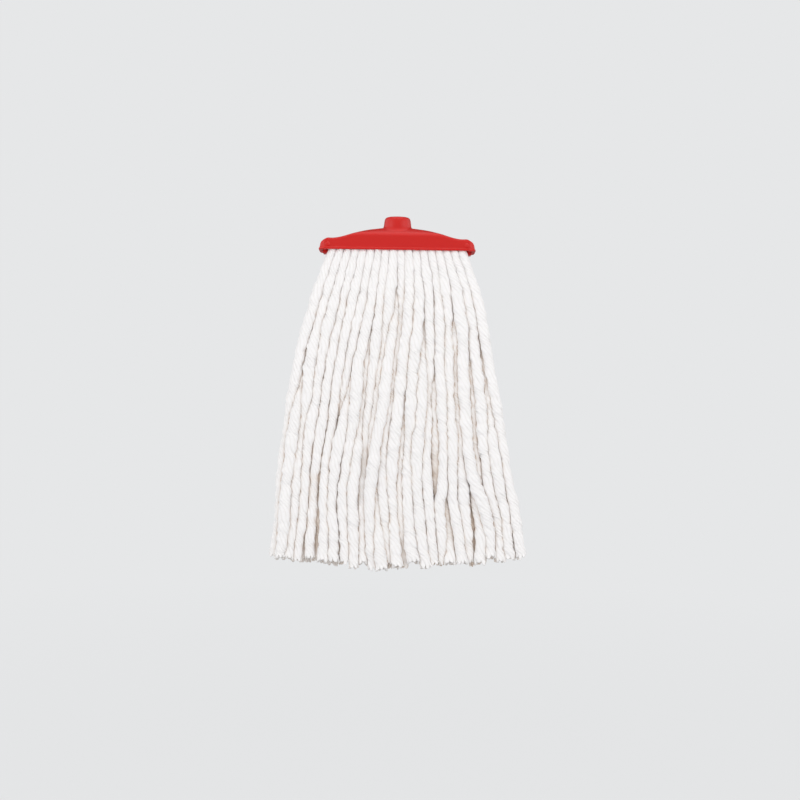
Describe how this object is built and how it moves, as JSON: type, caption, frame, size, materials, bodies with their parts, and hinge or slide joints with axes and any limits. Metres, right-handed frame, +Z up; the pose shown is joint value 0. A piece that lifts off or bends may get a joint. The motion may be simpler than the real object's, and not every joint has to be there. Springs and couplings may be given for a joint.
{
  "type": "string mop head",
  "caption": "String mop head: arched red plastic head with a round handle socket and a long skirt of thick twisted white cotton strands.",
  "frame": {"origin": "centre of the handle socket's mouth", "axes": "+Z up along the handle axis, out of the socket; +X along the head, to the right in the picture; -Y towards the viewer of the picture"},
  "size_m": [0.2611, 0.0415, 0.3585],
  "materials": {
    "red_polypropylene": "moulded, semi-gloss",
    "white_cotton": "twisted cotton yarn, matt"
  },
  "bodies": {
    "root": {"head_shell": "red_polypropylene", "yarn_bar": "red_polypropylene", "left_lock_pin": "red_polypropylene", "right_lock_pin": "red_polypropylene", "outer_strand_01": "white_cotton", "outer_strand_02": "white_cotton", "outer_strand_03": "white_cotton", "outer_strand_04": "white_cotton", "outer_strand_05": "white_cotton", "outer_strand_06": "white_cotton", "outer_strand_07": "white_cotton", "outer_strand_08": "white_cotton", "outer_strand_09": "white_cotton", "outer_strand_10": "white_cotton", "outer_strand_11": "white_cotton", "outer_strand_12": "white_cotton", "outer_strand_13": "white_cotton", "outer_strand_14": "white_cotton", "outer_strand_15": "white_cotton", "outer_strand_16": "white_cotton", "outer_strand_17": "white_cotton", "outer_strand_18": "white_cotton", "inner_strand_01": "white_cotton", "inner_strand_02": "white_cotton", "inner_strand_03": "white_cotton", "inner_strand_04": "white_cotton", "inner_strand_05": "white_cotton", "inner_strand_06": "white_cotton", "inner_strand_07": "white_cotton", "inner_strand_08": "white_cotton", "inner_strand_09": "white_cotton", "inner_strand_10": "white_cotton", "inner_strand_11": "white_cotton", "inner_strand_12": "white_cotton", "inner_strand_13": "white_cotton", "inner_strand_14": "white_cotton", "inner_strand_15": "white_cotton", "inner_strand_16": "white_cotton", "inner_strand_17": "white_cotton"}
  },
  "joints": []
}
